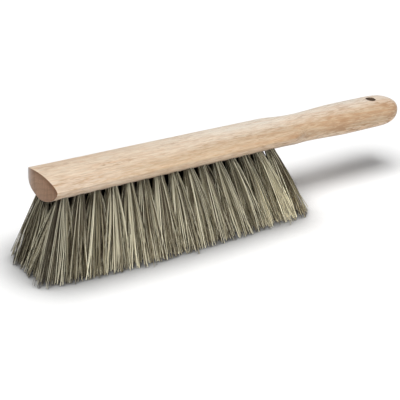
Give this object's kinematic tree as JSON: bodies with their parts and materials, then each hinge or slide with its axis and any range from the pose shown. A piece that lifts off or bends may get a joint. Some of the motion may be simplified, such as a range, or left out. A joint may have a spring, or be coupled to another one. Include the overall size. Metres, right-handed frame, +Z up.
{
  "type": "masonry brush",
  "caption": "Long hand brush: a one-piece wooden block and handle with a hanging hole, and staggered rows of stiff bristle tufts that fan out past the block.",
  "frame": {"origin": "on the floor that the bristle tips stand on, in the middle of the overall length and width", "axes": "+X along the brush from the sawn end to the handle's tip, +Y across it, +Z up from the bristle tips to the wood"},
  "size_m": [0.3648, 0.0701, 0.0752],
  "materials": {
    "bare_hardwood": "sanded pale hardwood, unvarnished, darker end grain on the sawn end",
    "bristle_mix": "stiff olive grey fibre mix of light, mid and near-black strands, trimmed level"
  },
  "bodies": {
    "root": {"wood_block_with_handle": "bare_hardwood", "tuft_row1_01": "bristle_mix", "tuft_row1_02": "bristle_mix", "tuft_row1_03": "bristle_mix", "tuft_row1_04": "bristle_mix", "tuft_row1_05": "bristle_mix", "tuft_row1_06": "bristle_mix", "tuft_row1_07": "bristle_mix", "tuft_row1_08": "bristle_mix", "tuft_row1_09": "bristle_mix", "tuft_row1_10": "bristle_mix", "tuft_row1_11": "bristle_mix", "tuft_row1_12": "bristle_mix", "tuft_row1_13": "bristle_mix", "tuft_row1_14": "bristle_mix", "tuft_row1_15": "bristle_mix", "tuft_row2_01": "bristle_mix", "tuft_row2_02": "bristle_mix", "tuft_row2_03": "bristle_mix", "tuft_row2_04": "bristle_mix", "tuft_row2_05": "bristle_mix", "tuft_row2_06": "bristle_mix", "tuft_row2_07": "bristle_mix", "tuft_row2_08": "bristle_mix", "tuft_row2_09": "bristle_mix", "tuft_row2_10": "bristle_mix", "tuft_row2_11": "bristle_mix", "tuft_row2_12": "bristle_mix", "tuft_row2_13": "bristle_mix", "tuft_row2_14": "bristle_mix", "tuft_row3_01": "bristle_mix", "tuft_row3_02": "bristle_mix", "tuft_row3_03": "bristle_mix", "tuft_row3_04": "bristle_mix", "tuft_row3_05": "bristle_mix", "tuft_row3_06": "bristle_mix", "tuft_row3_07": "bristle_mix", "tuft_row3_08": "bristle_mix", "tuft_row3_09": "bristle_mix", "tuft_row3_10": "bristle_mix", "tuft_row3_11": "bristle_mix", "tuft_row3_12": "bristle_mix", "tuft_row3_13": "bristle_mix", "tuft_row3_14": "bristle_mix", "tuft_row3_15": "bristle_mix", "tuft_row4_01": "bristle_mix", "tuft_row4_02": "bristle_mix", "tuft_row4_03": "bristle_mix", "tuft_row4_04": "bristle_mix", "tuft_row4_05": "bristle_mix", "tuft_row4_06": "bristle_mix", "tuft_row4_07": "bristle_mix", "tuft_row4_08": "bristle_mix", "tuft_row4_09": "bristle_mix", "tuft_row4_10": "bristle_mix", "tuft_row4_11": "bristle_mix", "tuft_row4_12": "bristle_mix", "tuft_row4_13": "bristle_mix", "tuft_row4_14": "bristle_mix"}
  },
  "joints": []
}
